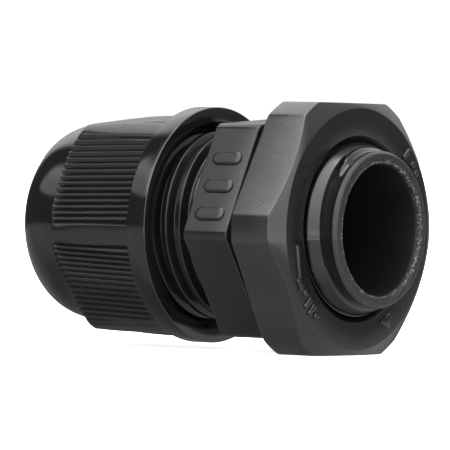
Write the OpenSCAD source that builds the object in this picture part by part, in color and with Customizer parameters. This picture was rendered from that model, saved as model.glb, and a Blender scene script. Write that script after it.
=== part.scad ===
// Cable gland for round cable, moulded nylon, lying on its side.
// The gland's axis is the X axis. The origin is on that axis, in the plane of the body's seat,
// the hexagon face that a panel is clamped against. +X points along the mounting thread into the
// enclosure, -X towards the domed cap where the cable enters, and +Z is up.
// Both threads are right-handed, so a nut that turns positively about +X moves towards +X.
// Threads are drawn at their crest diameter, and the threaded holes at crest plus clearance.

/* [Cable and bore] */
// Radius of the hole through the rubber sealing insert, the largest cable's radius
cable_r = 4.0; // [3:0.1:4.1]
// Radius of the hole in the nose of the cap
nose_hole_r = 4.6; // [4.3:0.1:4.9]
// Radius of the straight bore through the body
body_bore_r = 5.7; // [5:0.1:5.8]
// Radius of the counterbore in the clamping end, where the claw slides
counterbore_r = 6.6; // [6.5:0.1:6.8]

/* [Body] */
// Size of the body's hexagon across its flats
hex_af = 18.85; // [18:0.05:20]
// Thickness of the hexagon along the axis
hex_t = 4.75; // [3:0.05:5]
// Radius that rounds the hexagon's corners
hex_corner_r = 10.75; // [10.4:0.05:10.8]
// Turn of the body's hexagon from the locknut's
hex_turn = 4; // [-10:1:10]
// Crest radius of the mounting thread
mount_r = 7.6; // [7.4:0.05:7.8]
// Length of the mounting thread from the seat to its end
mount_len = 9.0; // [8.6:0.1:12]
// Pitch of the mounting thread
mount_pitch = 1.41; // [1:0.01:2]
// Crest radius of the clamping thread, under the cap
clamp_r = 8.4; // [8.2:0.05:8.4]
// Where the clamping end of the body stops, measured back from the seat
clamp_end = 13.2; // [12.5:0.1:13.4]

/* [Cap] */
// Radius of the flange around the cap's mouth
flange_r = 10.5; // [10.2:0.05:10.9]
// Distance from the seat back to the mouth of the cap, as assembled
cap_mouth = 9.16; // [8.8:0.02:9.4]
// Thickness of the flange
flange_t = 2.0; // [1.5:0.1:2.4]
// Size of the hexagonal grip across its flats, at the middle of its length
grip_af = 18.9; // [18.8:0.05:19.2]
// How far each flat leans in towards the front, in mm for each mm of length
grip_taper = 0.056; // [0.03:0.002:0.07]
// Radius of the grip's rounded corners
grip_corner_r = 10.16; // [10:0.02:10.18]
// Radius of the grip at its chamfered front edge
grip_front_r = 9.45; // [9.3:0.05:9.6]
// Angle of the first flat's middle, above the horizontal on the -Y side
grip_turn = 24.5; // [0:0.5:59.5]
// Distance from the seat back to the front end of the grip
rib_front = 20.57; // [20:0.1:21]
// Radius of the dome where it leaves the grip
dome_r = 8.95; // [8.85:0.05:9.2]
// Length of the dome along the axis
dome_len = 6.3; // [6:0.1:7]
// How square the dome's outline is, where 2 is an ellipse
dome_power = 2.9; // [2.2:0.1:3.2]
// Number of grooves in each flat of the grip
groove_count = 15; // [9:2:15]
// Distance between grooves
groove_step = 0.6; // [0.5:0.01:0.64]
// Depth of a groove
groove_depth = 0.3; // [0.1:0.02:0.34]

/* [Locknut and gasket] */
// Size of the locknut's hexagon across its flats
nut_af = 22.1; // [21:0.1:24]
// Radius of the cylinder that cuts the locknut's corners
nut_corner_r = 12.15; // [11.8:0.05:12.4]
// Thickness of the locknut
nut_t = 4.93; // [4:0.01:5.5]
// Radius of the flat on the locknut's outer face, where its chamfer starts
nut_face_r = 10.6; // [10:0.1:10.9]
// Outer radius of the flat gasket
gasket_r = 9.1; // [8.6:0.1:9.3]
// Thickness of the flat gasket
gasket_t = 1.45; // [1:0.05:1.5]

/* [Claw and seal] */
// Number of fingers on the claw
finger_count = 8; // [6:1:10]
// Width of the slots between the fingers
slot_w = 0.9; // [0.5:0.1:1.2]

/* [Hidden] */
$fn = 96;
run = 0.05;                       // radial running clearance
grip_mid = -(rib_front + cap_mouth + flange_t) / 2;
claw_ring_r = counterbore_r - run;
claw_in_r = 5.6;
claw_back = 11.9;                 // the claw's open end, inside the body
claw_flare = 16.95;               // where the claw's fingers flare out
claw_tip = 24.3;
seal_r = claw_in_r - run;
nut_in = gasket_t + run;
nut_out = nut_in + nut_t;

// Everything is drawn along +Z and laid down onto +X here, so z is the position along the axis.
module lay() { rotate([0, 90, 0]) children(); }

// A full ring whose outline is given as [radius, z] points.
module turned(outline) { rotate_extrude() polygon(outline); }

// A hexagon with flats to the top and bottom once it is laid down.
module hexagon(af, z0, t, turn = 0) {
    translate([0, 0, z0]) rotate([0, 0, 30 + turn]) cylinder(r = af / 2 / cos(30), h = t, $fn = 6);
}

// The cutter for one flat's grooves, as [distance from the axis, distance along the flat] points: a bar
// that clears the grip, with one pointed tooth for each groove.
function groove_s(k) = (k - (groove_count - 1) / 2) * groove_step;
function grip_n(s) = min(grip_af / 2, sqrt(grip_corner_r * grip_corner_r - s * s));
groove_comb = concat([[12, -6], [10.6, -6]],
    [for (k = [0:groove_count - 1]) let(s = groove_s(k)) for (p = [[10.6, s - 0.2], [grip_n(s), s - 0.2],
        [grip_n(s) - groove_depth, s], [grip_n(s), s + 0.2], [10.6, s + 0.2]]) p],
    [[10.6, 6], [12, 6]]);

module grip() {
    difference() {
        intersection() {
            rotate([0, 0, -grip_turn]) translate([0, 0, -rib_front])
                cylinder(r1 = (grip_af / 2 + grip_taper * (-rib_front - grip_mid)) / cos(30),
                    r2 = (grip_af / 2 + grip_taper * (-cap_mouth - 0.5 - grip_mid)) / cos(30),
                    h = rib_front - cap_mouth - 0.5, $fn = 6);
            turned([[0, -rib_front], [grip_front_r, -rib_front], [grip_corner_r, -rib_front + 0.6],
                    [grip_corner_r, -cap_mouth - 0.5], [0, -cap_mouth - 0.5]]);
        }
        for (i = [0:5]) rotate([0, 0, -90 - grip_turn + 60 * i]) translate([0, 0, grip_mid])
            rotate([0, atan(grip_taper), 0]) translate([0, 0, -6.5]) linear_extrude(height = 11.3) polygon(groove_comb);
    }
}

module body() {
    color([0.05, 0.05, 0.055]) lay() difference() {
        union() {
            intersection() {
                hexagon(hex_af, -hex_t, hex_t, hex_turn);
                turned([[0, -hex_t], [hex_corner_r - 0.35, -hex_t], [hex_corner_r, -hex_t + 0.2],
                        [hex_corner_r, -0.2], [hex_corner_r - 0.35, 0], [0, 0]]);
            }
            // mounting thread with its plain, rounded end
            turned([[0, -1], [mount_r, -1], [mount_r, mount_len - 2.35], [mount_r - 0.7, mount_len - 0.55],
                    [mount_r - 0.85, mount_len - 0.15], [mount_r - 1.1, mount_len], [0, mount_len]]);
            // clamping thread with a relief groove next to the hexagon
            turned([[0, -hex_t + 1], [clamp_r - 0.9, -hex_t + 1], [clamp_r - 0.9, -hex_t - 1],
                    [clamp_r, -hex_t - 1.5], [clamp_r, -clamp_end + 0.6], [clamp_r - 0.6, -clamp_end],
                    [0, -clamp_end]]);
        }
        turned([[0, -clamp_end - 1], [counterbore_r, -clamp_end - 1], [counterbore_r, -8.2],
                [body_bore_r, -7.6], [body_bore_r, mount_len - 0.25], [body_bore_r + 0.25, mount_len],
                [body_bore_r + 0.25, mount_len + 1], [0, mount_len + 1]]);
    }
}

module cap() {
    color([0.04, 0.04, 0.045]) lay() difference() {
        union() {
            grip();
            turned([[0, -cap_mouth], [flange_r - 0.25, -cap_mouth], [flange_r, -cap_mouth - 0.25],
                    [flange_r, -cap_mouth - flange_t + 0.25], [flange_r - 0.25, -cap_mouth - flange_t], [0, -cap_mouth - flange_t]]);
            // the dome, from its root inside the grip to the rim of the cable hole
            turned(concat([[0, -rib_front + 1], [dome_r, -rib_front + 1]],
                [for (i = [0:14]) let(t = sin(90 * i / 15)) [dome_r * pow(1 - pow(t, dome_power), 1 / dome_power), -rib_front - dome_len * t]],
                [[0, -rib_front - dome_len * sin(84)]]));
        }
        turned([[0, -cap_mouth + 1], [clamp_r + 0.8, -cap_mouth + 1], [clamp_r + 0.8, -cap_mouth], [clamp_r + run, -cap_mouth - 0.75],
                [clamp_r + run, -17.6], [8.0, -18.05], [5.95, -24.6], [nose_hole_r, -25.3],
                [nose_hole_r, -rib_front - dome_len - 1], [0, -rib_front - dome_len - 1]]);
    }
}

module locknut() {
    color([0.05, 0.05, 0.055]) lay() difference() {
        intersection() {
            hexagon(nut_af, nut_in, nut_t);
            turned([[0, nut_in], [nut_corner_r - 0.3, nut_in], [nut_corner_r, nut_in + 0.3],
                    [nut_corner_r, nut_out - (nut_corner_r - nut_face_r) * tan(30)], [nut_face_r, nut_out], [0, nut_out]]);
        }
        turned([[0, nut_in - 1], [mount_r + 0.45, nut_in - 1], [mount_r + 0.45, nut_in], [mount_r + run, nut_in + 0.4],
                [mount_r + run, nut_out - 0.55], [mount_r + 0.6, nut_out], [mount_r + 0.6, nut_out + 1], [0, nut_out + 1]]);
    }
}

module gasket() {
    color([0.03, 0.03, 0.03]) lay() difference() {
        cylinder(r = gasket_r, h = gasket_t);
        translate([0, 0, -1]) cylinder(r = mount_r + run, h = gasket_t + 2);
    }
}

module claw() {
    color([0.12, 0.12, 0.13]) lay() difference() {
        turned([[claw_in_r, -claw_back], [claw_ring_r, -claw_back], [claw_ring_r, -claw_flare], [7.7, -18.1],
                [5.85, -claw_tip], [5.15, -claw_tip], [claw_in_r, -17.6]]);
        for (i = [0:finger_count - 1]) rotate([0, 0, 360 / finger_count * i])
            translate([0, -slot_w / 2, -claw_tip - 1]) cube([12, slot_w, claw_tip - 16.3]);
    }
}

module seal() {
    color([0.08, 0.08, 0.08]) lay() difference() {
        turned([[0, -12.4], [seal_r, -12.4], [seal_r, -17.6], [5.1, -23.9], [0, -23.9]]);
        translate([0, 0, -25]) cylinder(r = cable_r, h = 14);
    }
}

body();
cap();
locknut();
gasket();
claw();
seal();
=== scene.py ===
import bpy, bmesh, math
import numpy as np
from mathutils import Matrix, Vector, noise


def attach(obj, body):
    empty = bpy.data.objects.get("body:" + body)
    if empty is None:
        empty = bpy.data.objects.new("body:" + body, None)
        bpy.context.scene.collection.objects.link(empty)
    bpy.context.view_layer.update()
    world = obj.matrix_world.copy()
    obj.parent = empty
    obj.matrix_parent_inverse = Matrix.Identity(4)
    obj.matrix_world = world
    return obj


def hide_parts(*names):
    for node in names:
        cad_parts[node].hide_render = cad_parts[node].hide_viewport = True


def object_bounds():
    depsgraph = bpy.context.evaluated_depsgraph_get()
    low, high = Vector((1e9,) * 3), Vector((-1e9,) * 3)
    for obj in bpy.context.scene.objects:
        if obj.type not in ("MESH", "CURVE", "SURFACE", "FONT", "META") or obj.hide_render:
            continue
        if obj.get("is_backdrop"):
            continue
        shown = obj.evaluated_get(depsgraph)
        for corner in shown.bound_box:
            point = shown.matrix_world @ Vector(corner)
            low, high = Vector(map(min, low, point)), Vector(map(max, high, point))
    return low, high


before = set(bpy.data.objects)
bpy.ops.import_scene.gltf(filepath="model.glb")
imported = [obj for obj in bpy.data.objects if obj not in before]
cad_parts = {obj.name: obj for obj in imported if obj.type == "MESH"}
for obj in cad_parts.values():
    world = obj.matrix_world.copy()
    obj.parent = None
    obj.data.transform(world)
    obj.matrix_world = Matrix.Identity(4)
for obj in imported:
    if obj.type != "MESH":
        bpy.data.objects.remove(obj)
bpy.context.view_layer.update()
pi = math.pi
DEG = pi / 180

# ------------------------------------------------------------------ camera
def camera():
    az, el, roll, dist = 37.096 * DEG, 0.777 * DEG, 1.189 * DEG, 0.460
    target = Vector((-0.008236, 0.0, 0.000026))
    back = Vector((math.sin(az) * math.cos(el), -math.cos(az) * math.cos(el), math.sin(el)))
    right = Vector((math.cos(az), math.sin(az), 0.0))
    up = back.cross(right)
    r2 = right * math.cos(roll) + up * math.sin(roll)
    u2 = up * math.cos(roll) - right * math.sin(roll)
    data = bpy.data.cameras.new("camera")
    data.sensor_width = 36.0
    data.lens = 5158.0 * 36.0 / 450.0
    data.clip_start, data.clip_end = 0.01, 50.0
    obj = bpy.data.objects.new("camera", data)
    m = Matrix((r2, u2, back)).transposed().to_4x4()
    m.translation = target + back * dist
    obj.matrix_world = m
    bpy.context.scene.collection.objects.link(obj)
    bpy.context.scene.camera = obj
camera()

# ------------------------------------------------------------------ mesh helpers, in millimetres
def columns(*extra, step=2.5):
    """Angles of the mesh's columns, from 0 to a full turn, with the extra ones worked in."""
    base = list(np.arange(0, 360, step))
    ex = sorted({round(float(e) % 360, 5) for group in extra for e in np.ravel(group)})
    keep = [b for b in base if all(min(abs(b - e), 360 - abs(b - e)) > step * 0.35 for e in ex)] if ex else base
    out = sorted(set(keep) | set(ex))
    if out[0] != 0:
        out = [0.0] + out
    return np.array(out + [360.0]) * DEG

def rounded(points, n):
    """Rows of a profile with each corner rounded. points: (x, r, radius, segments), each x and r a number or one value for each column."""
    ctrl = [(np.broadcast_to(np.asarray(x, float), (n,)), np.broadcast_to(np.asarray(r, float), (n,)), rho, seg) for x, r, rho, seg in points]
    rows = []
    for i, (x, r, rho, seg) in enumerate(ctrl):
        p = np.stack([x, r], 1)
        if rho <= 0 or i in (0, len(ctrl) - 1):
            rows.append(p)
            continue
        a = np.stack(ctrl[i - 1][:2], 1) - p
        b = np.stack(ctrl[i + 1][:2], 1) - p
        la, lb = np.maximum(np.linalg.norm(a, axis=1), 1e-9), np.maximum(np.linalg.norm(b, axis=1), 1e-9)
        a, b = a / la[:, None], b / lb[:, None]
        cosang = np.clip((a * b).sum(1), -0.9999, 0.9999)
        half = np.arccos(cosang) / 2
        cut = np.minimum(rho / np.tan(half), 0.45 * np.minimum(la, lb))
        rr = cut * np.tan(half)
        bis = a + b
        bis /= np.maximum(np.linalg.norm(bis, axis=1), 1e-9)[:, None]
        c = p + bis * (rr / np.sin(half))[:, None]
        t0, t1 = p + a * cut[:, None], p + b * cut[:, None]
        v0, v1 = t0 - c, t1 - c
        ang = np.arccos(np.clip((v0 * v1).sum(1) / np.maximum(rr, 1e-9) ** 2, -1, 1))
        for k in range(seg + 1):
            t = k / seg
            s = np.maximum(np.sin(ang), 1e-9)
            rows.append(c + v0 * (np.sin((1 - t) * ang) / s)[:, None] + v1 * (np.sin(t * ang) / s)[:, None])
    return rows

def split(rows, limit):
    """Adds rows so that no step along the profile is longer than limit."""
    out = [rows[0]]
    for a, b in zip(rows[:-1], rows[1:]):
        k = int(math.ceil(np.max(np.linalg.norm(b - a, axis=1)) / limit))
        for j in range(1, k + 1):
            out.append(a + (b - a) * j / k)
    return out

def lathe(rows, th, closed=True):
    """Vertices and quads of a profile swept around the X axis. Column angle 0 is +Y, and 90 degrees is +Z. th is one set of angles, or one for each row."""
    P = np.stack(rows, 0)                      # rows, columns, (x, r)
    n, m = P.shape[:2]
    th = np.broadcast_to(np.asarray(th, float), (n, m)) if np.ndim(th) == 1 else np.stack(th, 0)
    co = np.stack([P[..., 0], P[..., 1] * np.cos(th), P[..., 1] * np.sin(th)], -1).reshape(-1, 3)
    i, j = np.meshgrid(np.arange(n if closed else n - 1), np.arange(m - 1), indexing="ij")
    i2 = (i + 1) % n
    q = np.stack([i * m + j, i2 * m + j, i2 * m + j + 1, i * m + j + 1], -1).reshape(-1, 4)
    return co, q

def pad(outline, height, inset, origin, u, v, w, sink=0.06):
    """A closed raised mark. outline: points in mm on the plane through origin, along u and v; w points out of the surface."""
    o = np.asarray(outline, float)
    mid = o.mean(0)
    k = len(o)
    def ring(h, f):
        q = mid + (o - mid) * f
        return [np.asarray(origin) + a * np.asarray(u) + b * np.asarray(v) + h * np.asarray(w) for a, b in q]
    size = float(np.abs(o - mid).max(0).min())
    f = [1.0, 1.0, 1 - 0.25 * inset / size, 1 - 0.62 * inset / size, 1 - inset / size]
    h = [-sink, height * 0.55, height * 0.82, height * 0.95, height]
    co, faces = [], []
    for a, b in zip(h, f):
        co += ring(a, b)
    for r in range(4):
        for i in range(k):
            j = (i + 1) % k
            faces.append([r * k + i, r * k + j, (r + 1) * k + j, (r + 1) * k + i])
    faces.append(list(range(k))[::-1])
    co.append(np.asarray(origin) + mid[0] * np.asarray(u) + mid[1] * np.asarray(v) + height * np.asarray(w))
    top = 4 * k
    for i in range(k):
        faces.append([top + i, top + (i + 1) % k, len(co) - 1])
    return np.array(co), faces

def pill(length, width, cx=0.0, cy=0.0, turn=0.0, seg=10):
    r = width / 2
    pts = []
    for k in range(seg + 1):
        a = -pi / 2 + pi * k / seg
        pts.append((length / 2 - r + r * math.cos(a), r * math.sin(a)))
    for k in range(seg + 1):
        a = pi / 2 + pi * k / seg
        pts.append((-length / 2 + r + r * math.cos(a), r * math.sin(a)))
    c, s_ = math.cos(turn), math.sin(turn)
    return [(cx + x * c - y * s_, cy + x * s_ + y * c) for x, y in pts]

def make(name, parts, body, mats, pick=None, nodes=(), weld=2e-4, sharp=38, bevel=None):
    """A piece from (vertices in mm, faces) lists, welded, with its normals out."""
    bm = bmesh.new()
    for co, faces in parts:
        vs = [bm.verts.new(c) for c in co]
        for f in faces:
            f = [int(v) for v in f]
            if len(set(f)) < 3:
                continue
            try:
                bm.faces.new([vs[v] for v in f])
            except ValueError:
                pass
    bmesh.ops.remove_doubles(bm, verts=bm.verts, dist=weld)
    bmesh.ops.dissolve_degenerate(bm, edges=bm.edges, dist=weld / 2)
    loose = [v for v in bm.verts if not v.link_faces]
    bmesh.ops.delete(bm, geom=loose, context="VERTS")
    bmesh.ops.recalc_face_normals(bm, faces=bm.faces)
    for f in bm.faces:
        f.smooth = True
        if pick:
            c = f.calc_center_median()
            f.material_index = pick(c.x, math.hypot(c.y, c.z), f.normal, c)
    for e in bm.edges:
        e.smooth = not (len(e.link_faces) == 2 and e.calc_face_angle(0) > sharp * DEG)
    me = bpy.data.meshes.new(name)
    bm.transform(Matrix.Scale(0.001, 4))
    bm.to_mesh(me)
    bm.free()
    me.validate()
    for m in mats:
        me.materials.append(m)
    obj = bpy.data.objects.new(name, me)
    bpy.context.scene.collection.objects.link(obj)
    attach(obj, body)
    if nodes:
        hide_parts(*nodes)
    return obj

def hex_radius(th, af, turn, rho, cap=None, soft=14.0):
    """Radius of a hexagon's outline with rounded corners, optionally cut by a cylinder. turn=0 puts flats to the top and bottom."""
    d = np.abs((th / DEG - turn + 30) % 60 - 30) * DEG      # angle from the nearest corner
    c = (af / 2 - rho) / math.cos(30 * DEG)
    d0 = math.atan2(rho * 0.5, c + rho * math.cos(30 * DEG))
    flat = (af / 2) / np.cos(30 * DEG - d)
    arc = c * np.cos(d) + np.sqrt(np.maximum(rho ** 2 - (c * np.sin(d)) ** 2, 0))
    r = np.where(d < d0, arc, flat)
    if cap:
        r = -np.log(np.exp(-soft * (r - cap)) + 1.0) / soft + cap + 0.0
        r = np.where(r > cap, cap, r)
    return r

def ramp(t, e=0.16):
    """0 to 1 with both corners rounded."""
    t = np.asarray(t, float)
    s = np.clip(t, 0, 1)
    s = np.where(np.abs(t) < e, (t + e) ** 2 / (4 * e), s)
    return np.where(np.abs(t - 1) < e, 1 - (1 + e - t) ** 2 / (4 * e), s)

def helical(x_a, x_b, th, pitch, crest_x, radius, marks):
    """Rows that follow a right-handed helix from x_a to x_b. crest_x is a crest's place at -Y, marks are row offsets from the crest's middle, and radius(x, offset) gives the surface."""
    n0 = int(math.floor((x_a - crest_x) / pitch)) - 2
    n1 = int(math.ceil((x_b - crest_x) / pitch)) + 2
    rows = []
    for n in range(n0, n1 + 1):
        for mk in marks:
            x = crest_x + n * pitch + mk + pitch * (th - pi) / (2 * pi)
            x = np.clip(x, x_a, x_b)
            off = (x - crest_x - pitch * (th - pi) / (2 * pi) + pitch / 2) % pitch - pitch / 2
            rows.append(np.stack([x, radius(x, off)], 1))
    return rows if x_b > x_a else rows

def marks_for(pitch, land, depth, alpha):
    w, f = land / 2, depth * math.tan(alpha)
    m = [0, w * 0.6, w - 0.16 * f, w - 0.05 * f, w + 0.06 * f, w + 0.16 * f, w + 0.5 * f, w + 0.84 * f, w + f, w + 1.16 * f, (w + f * 1.16 + pitch / 2) / 2]
    m = [v for v in m if v < pitch / 2 - 0.01]
    return sorted({round(s * v, 5) for v in m for s in (-1, 1)} | {round(pitch / 2, 5)})

# ------------------------------------------------------------------ materials
def nylon(name, base=(0.0034, 0.0037, 0.0038), rough=0.26, rough_var=0.06, grain=0.25, grain_scale=9000.0, grain_depth=0.000012, peel=0.25, peel_scale=900.0, dust=0.0, spec=0.5, coat=0.0, scratch=0.0, tone=0.25, ior=1.53, specks=None):
    """Moulded black nylon. Lengths in the object are metres, so the scales are per metre."""
    m = bpy.data.materials.new(name)
    m.use_nodes = True
    nt = m.node_tree
    nt.nodes.clear()
    N, L = nt.nodes.new, nt.links.new
    out, bs = N("ShaderNodeOutputMaterial"), N("ShaderNodeBsdfPrincipled")
    L(bs.outputs[0], out.inputs[0])
    co = N("ShaderNodeTexCoord")
    def tex(scale, detail=2.0, rgh=0.5):
        t = N("ShaderNodeTexNoise")
        t.inputs["Scale"].default_value = scale
        t.inputs["Detail"].default_value = detail
        t.inputs["Roughness"].default_value = rgh
        L(co.outputs["Object"], t.inputs["Vector"])
        return t
    def math_(op, a, b=None, clamp=False):
        q = N("ShaderNodeMath"); q.operation = op; q.use_clamp = clamp
        for k, v in enumerate((a, b)):
            if v is None:
                continue
            if isinstance(v, (int, float)):
                q.inputs[k].default_value = v
            else:
                L(v, q.inputs[k])
        return q.outputs[0]
    big, mid, fine = tex(260.0, 3.0), tex(peel_scale, 2.0), tex(grain_scale, 2.0, 0.6)
    # colour: slow change of tone in the moulding, and paler dust in the grain
    mix = N("ShaderNodeMix"); mix.data_type = "RGBA"
    mix.inputs[6].default_value = (*[c * (1 - tone) for c in base], 1)
    mix.inputs[7].default_value = (*[c * (1 + tone * 1.6) for c in base], 1)
    L(big.outputs["Fac"], mix.inputs[0])
    col = mix.outputs[2]
    if dust:
        d = tex(5200.0, 3.0, 0.7)
        ramp_ = N("ShaderNodeValToRGB")
        ramp_.color_ramp.elements[0].position = 0.58
        ramp_.color_ramp.elements[1].position = 0.80
        L(d.outputs["Fac"], ramp_.inputs[0])
        mx = N("ShaderNodeMix"); mx.data_type = "RGBA"
        L(math_("MULTIPLY", ramp_.outputs[0], dust), mx.inputs[0])
        L(col, mx.inputs[6]); mx.inputs[7].default_value = (0.11, 0.11, 0.11, 1)
        col = mx.outputs[2]
    if specks:
        # pale crumbs along a moulded edge: a ring of the given radius and width, in metres, round the X axis
        ring, width, amount = specks
        xyz = N("ShaderNodeSeparateXYZ")
        L(co.outputs["Object"], xyz.inputs[0])
        rad = math_("SQRT", math_("ADD", math_("MULTIPLY", xyz.outputs[1], xyz.outputs[1]), math_("MULTIPLY", xyz.outputs[2], xyz.outputs[2])))
        near = math_("SUBTRACT", 1.0, math_("MULTIPLY", math_("ABSOLUTE", math_("SUBTRACT", rad, ring)), 1.0 / width), True)
        sp = tex(5200.0, 3.0, 0.65)
        rs = N("ShaderNodeValToRGB")
        rs.color_ramp.elements[0].position, rs.color_ramp.elements[1].position = 0.56, 0.66
        L(sp.outputs["Fac"], rs.inputs[0])
        ms = N("ShaderNodeMix"); ms.data_type = "RGBA"
        L(math_("MULTIPLY", math_("MULTIPLY", near, rs.outputs[0]), amount), ms.inputs[0])
        L(col, ms.inputs[6]); ms.inputs[7].default_value = (0.34, 0.34, 0.33, 1)
        col = ms.outputs[2]
    L(col, bs.inputs["Base Color"])
    r = math_("ADD", math_("MULTIPLY", math_("SUBTRACT", big.outputs["Fac"], 0.5), rough_var * 2), rough)
    r = math_("ADD", math_("MULTIPLY", math_("SUBTRACT", fine.outputs["Fac"], 0.5), rough_var), r, True)
    L(r, bs.inputs["Roughness"])
    bs.inputs["IOR"].default_value = ior
    if "Specular IOR Level" in bs.inputs:
        bs.inputs["Specular IOR Level"].default_value = spec
    if coat and "Coat Weight" in bs.inputs:
        bs.inputs["Coat Weight"].default_value = coat
        bs.inputs["Coat Roughness"].default_value = 0.08
    b1, b2 = N("ShaderNodeBump"), N("ShaderNodeBump")
    b1.inputs["Strength"].default_value = peel
    b1.inputs["Distance"].default_value = 0.00002
    L(mid.outputs["Fac"], b1.inputs["Height"])
    b2.inputs["Strength"].default_value = grain
    b2.inputs["Distance"].default_value = grain_depth
    L(fine.outputs["Fac"], b2.inputs["Height"])
    L(b1.outputs[0], b2.inputs["Normal"])
    last = b2
    if scratch:
        s = N("ShaderNodeTexNoise"); s.inputs["Scale"].default_value = 700.0; s.inputs["Detail"].default_value = 4.0
        mp = N("ShaderNodeMapping"); mp.inputs["Scale"].default_value = (0.25, 3.0, 3.0)
        L(co.outputs["Object"], mp.inputs[0]); L(mp.outputs[0], s.inputs["Vector"])
        b3 = N("ShaderNodeBump"); b3.inputs["Strength"].default_value = scratch; b3.inputs["Distance"].default_value = 0.00001
        L(s.outputs["Fac"], b3.inputs["Height"]); L(b2.outputs[0], b3.inputs["Normal"])
        last = b3
    L(last.outputs[0], bs.inputs["Normal"])
    return m

cap_gloss = nylon("cap_nylon_gloss", rough=0.11, rough_var=0.04, grain=0.06, peel=0.16, peel_scale=520.0)
cap_ribs = nylon("cap_nylon_ribs", rough=0.26, rough_var=0.06, grain=0.25, peel=0.2)
cap_inside = nylon("cap_nylon_inside", rough=0.30, rough_var=0.05, grain=0.15)
hex_satin = nylon("body_nylon_hexagon", base=(0.0062, 0.0070, 0.0070), rough=0.21, rough_var=0.06, grain=0.45, grain_scale=7000.0, peel=0.15, spec=0.28)
thread_gloss = nylon("body_nylon_thread", base=(0.0036, 0.0038, 0.0040), rough=0.16, rough_var=0.05, grain=0.08, peel=0.2, scratch=0.12, spec=0.42)
# the clamping thread's copy of the thread material is painted shade: a darker base and weaker reflections stand in for
# the shade between the cap's flange and the hexagon
clamp_thread_painted_shade = nylon("body_nylon_clamping_thread_painted_shade", base=(0.0030, 0.0032, 0.0033), rough=0.17, rough_var=0.05, grain=0.08, peel=0.2, scratch=0.12, spec=0.27)
rim_matte = nylon("body_nylon_rim", base=(0.008, 0.008, 0.008), rough=0.34, rough_var=0.16, grain=1.0, grain_scale=4200.0, grain_depth=0.00003, peel=0.9, peel_scale=1900.0, dust=0.12, spec=0.32, tone=0.35, specks=(0.00588, 0.00034, 0.6))
bore_dark = nylon("body_nylon_bore", base=(0.0045, 0.0046, 0.0048), rough=0.34, rough_var=0.06, grain=0.3)
nut_side = nylon("locknut_nylon_flats", base=(0.0060, 0.0068, 0.0068), rough=0.25, rough_var=0.14, grain=1.0, grain_scale=7000.0, grain_depth=0.00002, peel=0.3, spec=0.56, dust=0.06, ior=1.60)
nut_face = nylon("locknut_nylon_face", base=(0.0034, 0.0036, 0.0037), rough=0.17, rough_var=0.05, grain=0.22, peel=0.2, spec=0.45)
nut_inside = nylon("locknut_nylon_thread", rough=0.30, rough_var=0.05, grain=0.12)
rubber = nylon("gasket_rubber", base=(0.008, 0.008, 0.008), rough=0.62, rough_var=0.08, grain=0.6, grain_scale=5000.0, peel=0.4, dust=0.15)
seal_rubber = nylon("seal_rubber", base=(0.012, 0.012, 0.012), rough=0.58, rough_var=0.08, grain=0.5, grain_scale=5000.0, peel=0.35, dust=0.2)
claw_satin = nylon("claw_nylon", base=(0.012, 0.012, 0.0125), rough=0.38, rough_var=0.06, grain=0.3)

# ------------------------------------------------------------------ thread forms
M_PITCH, M_CREST, M_ROOT, M_LAND, M_AL = 1.41, 7.64, 6.88, 0.60, 25 * DEG
M_AT = 6.83                                     # a crest's middle at -Y
C_PITCH, C_CREST, C_ROOT, C_LAND, C_AL = 1.5, 8.40, 7.66, 0.52, 27 * DEG
C_AT = -7.18

def male(off, crest, root, land, al):
    f = (crest - root) * np.tan(al)
    return root + (crest - root) * ramp((land / 2 + f - np.abs(off)) / f)

def female(off, crest, root, land, al, gap=0.07, ease=0.06):
    """The hole that runs on a male thread, gap mm away along the axis."""
    f = (crest - root) * math.tan(al)
    r = root + (crest - root) * ramp((land / 2 + gap + f - np.abs(off)) / f)
    return r + ease

# ------------------------------------------------------------------ body
HEX_AF, HEX_T, HEX_TURN, HEX_RHO = 18.85, 4.75, 4.0, 0.55

def corner_angles(turn, spread):
    return [turn + 60 * k + s for k in range(6) for s in spread]

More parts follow.
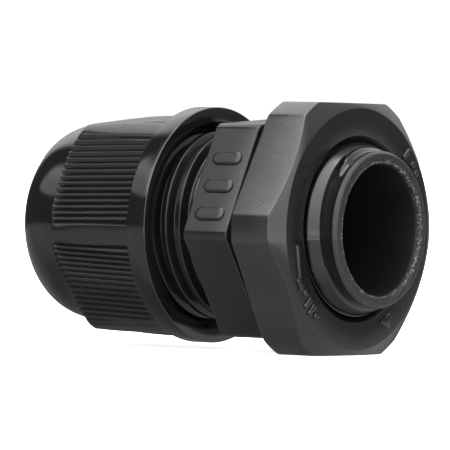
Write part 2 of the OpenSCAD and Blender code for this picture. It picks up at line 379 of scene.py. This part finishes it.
def build_body():
    th = columns(corner_angles(HEX_TURN, (-5, -3.4, -2.8, -2.4, -2.1, -1.7, -1.2, 0, 1.2, 1.7, 2.1, 2.4, 2.8, 3.4, 5)), step=2.0)
    n = len(th)
    hr = hex_radius(th, HEX_AF, HEX_TURN, 0.25, cap=10.70, soft=26.0)
    # a moulding seam runs along the spigot, a little below -Y and opposite
    seam = sum(np.exp(-(((th / DEG - a + 180) % 360 - 180) / 0.55) ** 2) for a in (187.0, 7.0))

    def mount(x, off):
        # the thread starts 43 degrees above -Y and winds towards the seat from there; its last full turn is wide
        turn = np.round((x - M_AT - M_PITCH * (th - pi) / (2 * pi) - off) / M_PITCH)
        gate = np.where(turn < 0.5, 1.0, np.where(turn < 1.5, np.clip((140 - th / DEG) / 24, 0, 1), 0.0))
        wide = np.clip((x - 5.4) / 0.5, 0, 1) * (turn < 0.5)
        # an undercut between the thread's end and the rim
        root = M_ROOT - 0.20 * ramp((x - 6.70) / 0.30) * ramp((8.56 - x) / 0.95)
        r = male(off, M_CREST, root, M_LAND + wide * 0.54, M_AL * (1 - 0.72 * wide))
        r = root + (r - root) * gate
        cone = 7.64 - (x - 6.38) * 0.40 - np.maximum(x - 7.55, 0) * 0.50
        r = np.minimum(r, np.maximum(cone, root))
        start = np.clip((x - 0.25) / 0.9, 0, 1)
        return M_ROOT + (r - M_ROOT) * start

    def clamp(x, off):
        r = male(off, C_CREST, C_ROOT, C_LAND, C_AL)
        cone = 7.75 + (x + 13.2) * 0.9
        r = np.minimum(r, np.maximum(cone, C_ROOT))
        end = np.clip((-6.15 - x) / 0.45, 0, 1)
        return C_ROOT + (r - C_ROOT) * end

    outer = rounded([
        (-13.2, 6.75, 0, 1), (-13.2, C_ROOT, 0.12, 3), (-13.0, C_ROOT, 0, 1)], n)
    outer += helical(-13.0, -6.1, th, C_PITCH, C_AT, clamp, marks_for(C_PITCH, C_LAND, C_CREST - C_ROOT, C_AL))
    outer += rounded([
        (-6.1, C_ROOT, 0, 1), (-4.75, C_ROOT, 0.25, 4), (-4.75, hr - 0.0, 0.16, 4), (0.0, hr, 0.22, 4), (0.0, M_ROOT, 0.12, 3), (0.15, M_ROOT, 0, 1)], n)
    outer += helical(0.15, 8.50, th, M_PITCH, M_AT, mount, sorted(set(marks_for(M_PITCH, M_LAND, M_CREST - M_ROOT, M_AL)) | {-0.665, -0.63, -0.55, 0.54, 0.575, 0.61, 0.665}))
    rim = rounded([
        (8.50, M_ROOT, 0, 1), (8.60, M_ROOT + 0.03, 0.06, 2), (8.98, M_ROOT - 0.16, 0.30, 6), (9.0, 5.86, 0.24, 6), (8.4, 5.70, 0, 1)], n)
    outer += split(rim, 0.10)
    outer += split(rounded([
        (8.4, 5.70, 0, 1), (-7.6, 5.70, 0.2, 3), (-8.2, 6.60, 0.2, 3), (-12.9, 6.60, 0.08, 2), (-13.2, 6.75, 0.0, 1)], n), 1.6)
    rows = []
    for k, p in enumerate(outer):
        p = p.copy()
        on = (p[:, 0] > 0.3) & (p[:, 1] > 5.9)
        p[:, 1] += np.where(on, seam * 0.028, 0)
        # the cut end of the spigot is slightly lumpy
        face = np.clip((p[:, 0] - 8.62) / 0.25, 0, 1) * (p[:, 1] > 5.72)
        if face.max() > 0:
            for c in range(n):
                if face[c] > 0:
                    a = th[c] if c < n - 1 else 0.0
                    q = Vector((p[c, 0] * 1.3, p[c, 1] * math.cos(a) * 1.5, p[c, 1] * math.sin(a) * 1.5))
                    d = noise.noise(q * 1.4) * 0.035 + noise.noise(q * 4.0) * 0.022
                    p[c, 0] += d * face[c] - 0.02 * face[c]
                    p[c, 1] += (noise.noise(q * 3.1 + Vector((7, 3, 1))) * 0.03) * face[c]
                    if p[c, 1] < 6.0:
                        p[c, 0] += max(noise.noise(q * 9.0), 0) * 0.03 * face[c]
        rows.append(p)
    co, q = lathe(rows, th)
    parts = [(co, q)]
    # three plain raised bars on the upper flat of the -Y side
    a = (26.0) * DEG
    e, t = np.array([0.0, -math.cos(a), math.sin(a)]), np.array([0.0, math.sin(a), math.cos(a)])
    for off in (2.05, -0.65, -3.35):
        parts.append(pad(pill(3.1, 1.25), 0.22, 0.20, np.array([-2.4, 0, 0]) + e * (HEX_AF / 2) + t * off, np.array([1.0, 0, 0]), t, e))

    def pick(x, r, nrm, c):
        if x > 8.45 and r > 5.76:
            return 2
        if r < 6.62 and x < 8.9:
            return 3
        # the clamping thread, between the cap and the hexagon, gets the copy with painted shade
        if x < -4.9:
            return 4
        if x > 0.001:
            return 1
        return 0
    return make("gland_body", parts, "gland_body", [hex_satin, thread_gloss, rim_matte, bore_dark, clamp_thread_painted_shade], pick, nodes=("body",), sharp=50)

# ------------------------------------------------------------------ cap
GRIP_TURN, GROOVES, STEP, GROOVE_W, GROOVE_D = 24.3, 15, 0.592, 0.225, 0.30
GRIP_R, FRONT, BACK = 10.34, -20.57, -11.16

def flat_at(x):
    """Distance of the grip's flats from the axis, which lean in towards the front."""
    return 9.48 + 0.056 * (x + 15.0)

def build_cap():
    # columns: across each of the six flats by distance from its middle line, then a few round each corner
    off = (-0.3, -0.235, -0.205, -0.165, -0.085, 0.0, 0.085, 0.165, 0.205, 0.235)
    edge = (GROOVES - 1) / 2 * STEP + 0.30
    s_flat = sorted({round((k - (GROOVES - 1) / 2) * STEP + o, 4) for k in range(GROOVES) for o in off} | {edge})
    s_flat = np.array(s_flat)
    near = np.abs(s_flat[:, None] - (np.arange(GROOVES) - (GROOVES - 1) / 2)[None, :] * STEP).min(1)
    g_flat = ramp(1 - near / GROOVE_W, 0.28)
    corner = np.linspace(0, 1, 6)[1:-1]

    def angles(x):
        c = flat_at(x)
        sc = math.sqrt(max(GRIP_R ** 2 - c ** 2, 0))
        t = np.where(np.abs(s_flat) < sc, np.arctan2(s_flat, c), np.arcsin(np.clip(s_flat / GRIP_R, -1, 1)))
        end = t[-1]
        land = end + (60 * DEG - 2 * end) * corner
        one = np.concatenate([t, land])
        start = (180 - GRIP_TURN) * DEG
        a = np.concatenate([start + 60 * DEG * k + one for k in range(6)])
        return np.concatenate([a, a[:1] + 2 * pi])

    # the flat on top is worn almost smooth
    per = len(s_flat) + len(corner)
    shallow = np.ones(per * 6 + 1)
    top = [k for k in range(6) if abs((180 - GRIP_TURN + 60 * k) % 360 - 95.5) < 5][0]
    shallow[per * top:per * (top + 1)] = 0.14

    tile = lambda v: np.concatenate([np.tile(v, 6), v[:1]])
    g = tile(np.concatenate([g_flat, corner * 0]))
    th = angles(-15.0)
    n = len(th)
    start = (180 - GRIP_TURN) * DEG

    def grip(x):
        a = angles(x)
        d = np.abs(((a - start) / DEG + 30) % 60 - 30) * DEG
        f = flat_at(x) / np.cos(d)
        r = np.where(f < GRIP_R, f, GRIP_R)
        r = r - 0.5 * np.maximum(0.05 - np.abs(f - GRIP_R), 0)            # eased crease between flat and corner
        u = x - FRONT
        cone = 9.46 + u * 1.0
        r = np.minimum(r, cone)
        r = r - 0.09 * (1 - math.sqrt(max(1 - (1 - min(u / 0.09, 1)) ** 2, 0)))   # front edge rounding
        deep = GROOVE_D * min(1.0, 0.55 + u / 2.2) * min(1.0, max(0.0, (BACK - 0.05 - x) / 0.12))
        r = r - deep * g * shallow
        return np.maximum(r, 8.94), a

    dome_r, dome_len, pw = 8.96, 6.3, 2.9
    t_end = (1 - (4.98 / dome_r) ** pw) ** (1 / pw)
    t = t_end * np.sin(np.linspace(0, 1, 24) * 78 * DEG) / math.sin(78 * DEG)
    dome = [(FRONT - dome_len * a, dome_r * (1 - a ** pw) ** (1 / pw)) for a in t]
    nose_x, nose_r = dome[-1]
    rows, ths = [], []
    def add(new, a=None):
        for row in new:
            rows.append(row)
            ths.append(th if a is None else a)
    flat = lambda x, r: np.stack([np.full(n, float(x)), np.broadcast_to(np.asarray(r, float), (n,))], 1)
    add(rounded([(-24.9, 4.95, 0, 1), (-25.3, 4.6, 0.1, 2), (nose_x - 0.03, 4.6, 0.2, 5), (nose_x, nose_r, 0.0, 1)], n))
    add([flat(x, r) for x, r in dome[-2::-1]])
    u = [0.0, 0.012, 0.035, 0.09, 0.18, 0.28, 0.40, 0.52, 0.62, 0.72, 0.9, 1.3, 1.8]
    for x in [FRONT + v for v in u] + list(np.linspace(FRONT + 2.6, BACK - 0.4, 8)) + [BACK - 0.17, BACK - 0.11, BACK - 0.05, BACK]:
        r, a = grip(x)
        add([np.stack([np.full(n, x), r], 1)], a)
    last = rows[-1][:, 1]
    add(rounded([(BACK, last, 0, 1), (BACK, 10.52, 0.14, 4), (-9.16, 10.52, 0.08, 4), (-9.16, 9.25, 0.08, 3), (-9.92, 8.56, 0, 1)], n)[1:])

    def inner(x, o):
        top = C_CREST + 0.1
        r = np.minimum(female(o, C_CREST, C_ROOT, C_LAND, C_AL), top)
        lead = np.clip((-9.92 - x) / 0.6, 0, 1) * np.clip((x + 17.5) / 0.5, 0, 1)
        return top + (r - top) * lead

    f_, w_ = (C_CREST - C_ROOT) * math.tan(C_AL), C_LAND / 2 + 0.07
    marks = sorted({round(v * k, 4) for v in (0, w_ - 0.1 * f_, w_ + 0.12 * f_, w_ + 0.5 * f_, w_ + 0.9 * f_, w_ + 1.1 * f_) for k in (-1, 1) if v < C_PITCH / 2} | {C_PITCH / 2})
    add(helical(-17.55, -9.95, th, C_PITCH, C_AT, inner, marks)[::-1])
    add(split(rounded([(-17.6, 8.5, 0, 1), (-17.62, 8.45, 0.1, 2), (-18.05, 8.0, 0.1, 2), (-24.6, 5.95, 0.1, 2), (-24.9, 4.95, 0, 1)], n), 2.0)[:-1])
    co, q = lathe(rows, ths)

    def pick(x, r, nrm, c):
        if c.y * nrm.y + c.z * nrm.z < 0 and r < 8.62:
            return 2
        if FRONT < x < BACK and r > 8.95:
            return 1
        return 0
    return make("cap", [(co, q)], "cap", [cap_gloss, cap_ribs, cap_inside], pick, nodes=("cap",), sharp=45)

# ------------------------------------------------------------------ locknut
def build_nut():
    th = columns(corner_angles(0, (-7.4, -6.4, -5.8, -5.2, -4.6, -4.0, -3.2, 0, 3.2, 4.0, 4.6, 5.2, 5.8, 6.4, 7.4)), step=2.0)
    n = len(th)
    hr = hex_radius(th, 22.1, 0.0, 0.30, cap=12.12, soft=30.0)
    x0, x1, rf, ta = 1.5, 6.43, 10.6, math.tan(30 * DEG)
    rows = rounded([
        (x1 - 0.50, 7.74, 0, 1), (x1, 8.23, 0.07, 3), (x1, rf, 0.22, 4), (x1 - (hr - rf) * ta, hr, 0.14, 4), (x0, hr, 0.20, 4), (x0, 8.0, 0.08, 2), (x0 + 0.35, 7.74, 0, 1)], n)

    def inner(x, off):
        r = female(off, M_CREST, M_ROOT, M_LAND, M_AL)
        top = M_CREST + 0.1
        r = np.minimum(r, top)
        lead = np.clip((x - x0 - 0.35) / 0.5, 0, 1) * np.clip((x1 - 0.5 - x) / 0.4, 0, 1)
        return top + (r - top) * lead
    rows += helical(x0 + 0.36, x1 - 0.51, th, M_PITCH, M_AT, inner, marks_for(M_PITCH, M_LAND + 0.14, M_CREST - M_ROOT, M_AL))
    co, q = lathe(split(rows[:30], 2.2) + rows[30:], th)
    parts = [(co, q)]
    # small plain raised marks on the outer face: pips, a bar and a triangle
    def face_mark(outline, phi, rad):
        a = phi * DEG
        e = np.array([0.0, -math.cos(a), math.sin(a)])
        t = np.array([0.0, -math.sin(a), -math.cos(a)])
        parts.append(pad(outline, 0.25, 0.17, np.array([x1, 0, 0]) + e * rad, t, e, np.array([1.0, 0, 0])))
    dot = [(0.30 * math.cos(a), 0.30 * math.sin(a)) for a in np.linspace(0, 2 * pi, 17)[:-1]]
    # a long thin bar, upright at its own place on the ring, then a row of pips
    face_mark(pill(3.0, 0.34, turn=0.166), -17.5, 9.3)
    face_mark(pill(1.25, 0.42), -29.0, 9.8)
    face_mark(dot, -35.5, 9.5)
    for phi in (-41.0, -45.5):
        face_mark(pill(1.35, 0.46, turn=pi / 2), phi, 9.65)
    face_mark(dot, -50.5, 9.7)
    tri = [(-0.95, -0.50), (0.95, -0.50), (0.0, 0.82)]
    tri = [tuple(np.array(tri[i]) * (1 - f) + np.array(tri[(i + 1) % 3]) * f) for i in range(3) for f in (0.12, 0.5, 0.88)]
    face_mark(tri, -118.0, 9.2)
    face_mark(pill(1.2, 0.40, turn=pi / 2), 136.0, 9.65)
    face_mark(dot, 144.0, 9.75)
    face_mark(dot, 149.5, 9.75)

    def pick(x, r, nrm, c):
        if r < 8.25 and (c.y * nrm.y + c.z * nrm.z) < 0:
            return 2
        if nrm.x > 0.4:
            return 1
        return 0
    return make("locknut", parts, "locknut", [nut_side, nut_face, nut_inside], pick, nodes=("locknut",), sharp=50)

# ------------------------------------------------------------------ gasket, seal, claw
def build_gasket():
    th = columns(step=3.0)
    rows = rounded([(0.35, 7.66, 0, 1), (0.02, 7.66, 0.12, 3), (0.02, 9.08, 0.22, 4), (1.43, 9.08, 0.22, 4), (1.43, 7.66, 0.12, 3), (0.36, 7.66, 0, 1)], len(th))
    co, q = lathe(rows, th)
    return make("gasket", [(co, q)], "gasket", [rubber], nodes=("gasket",))

def build_seal():
    th = columns(step=3.0)
    rows = split(rounded([(-15.0, 4.0, 0, 1), (-12.8, 4.0, 0.1, 2), (-12.4, 4.35, 0.1, 3), (-12.4, 5.53, 0.25, 4), (-17.6, 5.53, 0.4, 3), (-23.9, 5.05, 0.3, 4), (-23.9, 4.3, 0.15, 3), (-23.5, 4.0, 0.1, 2), (-15.01, 4.0, 0, 1)], len(th)), 1.5)
    co, q = lathe(rows, th)
    return make("seal", [(co, q)], "clamp_insert", [seal_rubber], nodes=("seal",))

def build_claw():
    fingers, slot = 8, 0.9
    edges, cols = [], []
    for k in range(fingers):
        mid = 360 / fingers * (k + 0.5) + 0.0
        w = 360 / fingers / 2 - math.degrees(slot / 2 / 6.4)
        for s in np.linspace(-w, w, 9):
            cols.append(mid + s)
    cols = np.array(cols) * DEG
    out_p = [(-11.9, 6.42), (-12.05, 6.55), (-14.5, 6.55), (-16.9, 6.55), (-17.15, 6.72), (-18.0, 7.6), (-18.25, 7.66), (-19.5, 7.28), (-21.5, 6.68), (-23.6, 6.05), (-24.15, 5.86), (-24.3, 5.70)]
    in_p = [(-11.9, 5.73), (-12.05, 5.6), (-14.5, 5.6), (-16.9, 5.6), (-17.15, 5.6), (-18.0, 5.57), (-18.25, 5.55), (-19.5, 5.47), (-21.5, 5.33), (-23.6, 5.20), (-24.15, 5.18), (-24.3, 5.32)]
    root = 4
    M, m = len(out_p), len(cols)
    def ring(p):
        return np.array([[x, r * math.cos(a), r * math.sin(a)] for x, r in p for a in cols])
    co = np.concatenate([ring(out_p), ring(in_p)])
    O = lambda j, i: j * m + i % m
    I = lambda j, i: M * m + j * m + i % m
    f = []
    for i in range(m):
        is_slot = i % 9 == 8
        top = root if is_slot else M - 1
        for j in range(top):
            f += [[O(j, i), O(j + 1, i), O(j + 1, i + 1), O(j, i + 1)], [I(j, i), I(j, i + 1), I(j + 1, i + 1), I(j + 1, i)]]
        f.append([O(top, i), I(top, i), I(top, i + 1), O(top, i + 1)])
        f.append([O(0, i), O(0, i + 1), I(0, i + 1), I(0, i)])
        if is_slot:
            for j in range(root, M - 1):
                f += [[O(j, i), I(j, i), I(j + 1, i), O(j + 1, i)], [O(j, i + 1), O(j + 1, i + 1), I(j + 1, i + 1), I(j, i + 1)]]
    obj = make("claw", [(co, f)], "clamp_insert", [claw_satin], nodes=("claw",), sharp=35)
    return obj

build_body()
build_cap()
build_nut()
build_gasket()
build_seal()
build_claw()

# ------------------------------------------------------------------ studio
def mat_floor():
    m = bpy.data.materials.new("floor_white")
    m.use_nodes = True
    nt = m.node_tree
    b = nt.nodes["Principled BSDF"]
    b.inputs["Base Color"].default_value = (0.80, 0.80, 0.80, 1)
    b.inputs["Roughness"].default_value = 0.9
    b.inputs["Emission Color"].default_value = (1, 1, 1, 1)
    b.inputs["Emission Strength"].default_value = 0.80
    t, c, r = nt.nodes.new("ShaderNodeTexNoise"), nt.nodes.new("ShaderNodeTexCoord"), nt.nodes.new("ShaderNodeMapRange")
    t.inputs["Scale"].default_value = 6.0
    nt.links.new(c.outputs["Object"], t.inputs["Vector"])
    nt.links.new(t.outputs["Fac"], r.inputs[0])
    r.inputs[3].default_value, r.inputs[4].default_value = 0.85, 0.95
    nt.links.new(r.outputs[0], b.inputs["Roughness"])
    return m

def floor():
    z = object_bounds()[0][2] if isinstance(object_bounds()[0], (list, tuple, Vector)) else -0.011
    me = bpy.data.meshes.new("floor")
    s = 12.0
    me.from_pydata([(-s, -s, z), (s, -s, z), (s, s, z), (-s, s, z)], [], [(0, 1, 2, 3)])
    me.materials.append(mat_floor())
    o = bpy.data.objects.new("floor", me)
    o.visible_glossy = False
    bpy.context.scene.collection.objects.link(o)
    o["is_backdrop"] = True

def studio():
    w = bpy.data.worlds.new("studio")
    bpy.context.scene.world = w
    w.use_nodes = True
    nt = w.node_tree
    nt.nodes.clear()
    N, L = nt.nodes.new, nt.links.new
    out, lp, mix = N("ShaderNodeOutputWorld"), N("ShaderNodeLightPath"), N("ShaderNodeMixShader")
    seen, lit = N("ShaderNodeBackground"), N("ShaderNodeBackground")
    seen.inputs[0].default_value, seen.inputs[1].default_value = (1, 1, 1, 1), 1.05
    lit.inputs[0].default_value = (1, 1, 1, 1)
    # what the object reflects: a white wall behind it, a large soft light in front and above on the right,
    # a smaller one on the left, a pale floor, and darkness between them
    tc, xyz = N("ShaderNodeTexCoord"), N("ShaderNodeSeparateXYZ")
    L(tc.outputs["Generated"], xyz.inputs[0])
    X, Y, Z = xyz.outputs
    def step(src, a, b, c=0.0, d=1.0):
        m = N("ShaderNodeMapRange"); m.interpolation_type = "SMOOTHSTEP"
        for k, v in zip((1, 2, 3, 4), (a, b, c, d)):
            m.inputs[k].default_value = v
        L(src, m.inputs[0])
        return m.outputs[0]
    def op(kind, *args):
        acc = args[0]
        for b_ in args[1:]:
            m = N("ShaderNodeMath"); m.operation = kind
            for k, v in enumerate((acc, b_)):
                if isinstance(v, (int, float)):
                    m.inputs[k].default_value = v
                else:
                    L(v, m.inputs[k])
            acc = m.outputs[0]
        return acc
    above = step(Z, -0.065, -0.005)
    below = step(Z, -0.080, -0.022, 1.0, 0.0)
    s_ = op("ADD", Y, op("MULTIPLY", Z, 0.6))
    wall = op("MULTIPLY", step(s_, 0.52, 0.70), step(X, -0.1, 0.45, 1.0, 0.55), step(Z, 0.02, 0.72, 0.30, 1.8), above)
    upper = op("MULTIPLY", step(X, -0.52, -0.40), step(X, 0.25, -0.05), step(Z, 0.36, 0.50), 1.7)
    front = op("MULTIPLY", op("MAXIMUM", step(X, -0.34, -0.02), upper), step(Y, 0.30, 0.0), step(Z, -0.19, -0.12), step(Z, 0.0, 0.55, 2.6, 3.6))
    patch = op("MULTIPLY", step(X, -0.36, -0.50), step(Y, -0.18, -0.34), step(Z, 0.35, 0.40), step(Z, 0.80, 0.66), step(X, -0.93, -0.86), step(Z, 0.52, 0.66, 1.3, 1.95))
    ground = op("MULTIPLY", op("ADD", 0.14, step(X, -0.3, 0.2, 0.0, 0.72), step(Y, -0.28, -0.72, 0.0, 0.42), step(X, -0.68, -0.88, 0.0, 0.22)), below)
    L(op("ADD", wall, front, patch, ground, 0.05), lit.inputs[1])
    L(lp.outputs["Is Camera Ray"], mix.inputs[0]); L(lit.outputs[0], mix.inputs[1]); L(seen.outputs[0], mix.inputs[2])
    L(mix.outputs[0], out.inputs[0])
    d = bpy.data.lights.new("fill_above", "SUN")
    d.energy, d.angle = 1.3, 100 * DEG
    o = bpy.data.objects.new("fill_above", d)
    o.rotation_euler = Vector((-0.1, -0.25, 1.0)).to_track_quat("Z", "Y").to_euler()
    o.visible_glossy = False
    bpy.context.scene.collection.objects.link(o)
studio()
floor()
bpy.context.scene.view_settings.view_transform = "Standard"
